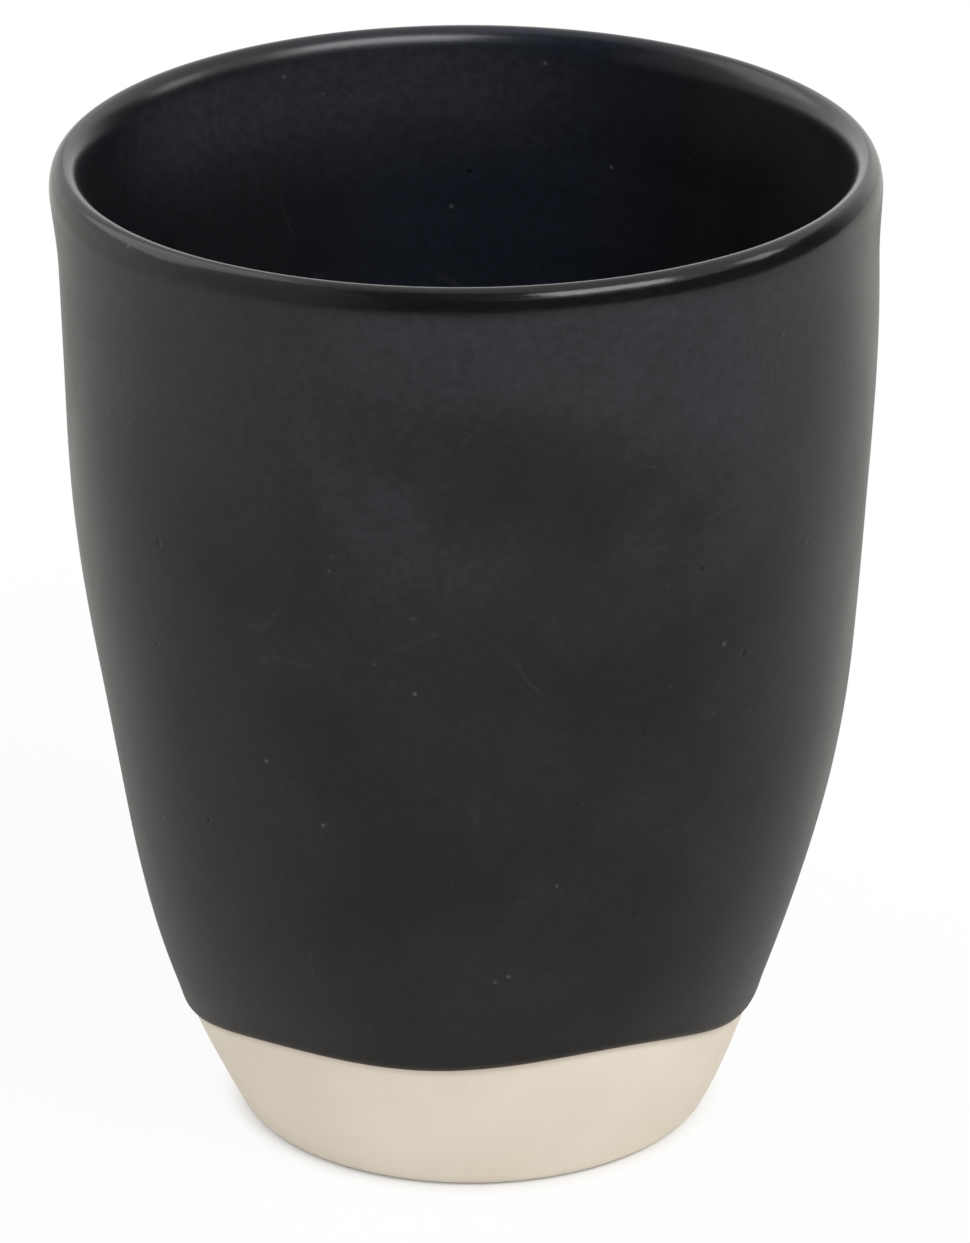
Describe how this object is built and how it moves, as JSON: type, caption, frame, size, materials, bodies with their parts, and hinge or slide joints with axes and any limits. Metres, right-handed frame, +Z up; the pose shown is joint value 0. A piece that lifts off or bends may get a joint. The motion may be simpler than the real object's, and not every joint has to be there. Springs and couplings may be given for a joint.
{
  "type": "stoneware mug",
  "caption": "Tall handleless mug: thrown stoneware body with a bare clay foot, a dark glaze coat outside with a wavy lower edge, and a dark liner coat inside.",
  "frame": {"origin": "centre of the foot, on the surface that the mug stands on", "axes": "+Z up along the mug's axis towards the mouth; +Y away from the viewer of the picture, +X to the viewer's right"},
  "size_m": [0.0826, 0.0826, 0.1028],
  "materials": {
    "bare_clay": "unglazed fired stoneware, warm cream, fine matt grain",
    "satin_black_glaze": "satin black glaze with a soft sheen, thin and brownish at its lower edge",
    "black_liner_glaze": "black liner glaze, a little bluer and less shiny than the outside"
  },
  "bodies": {
    "root": {"clay_body": "bare_clay", "outside_glaze": "satin_black_glaze", "liner_glaze": "black_liner_glaze"}
  },
  "joints": []
}
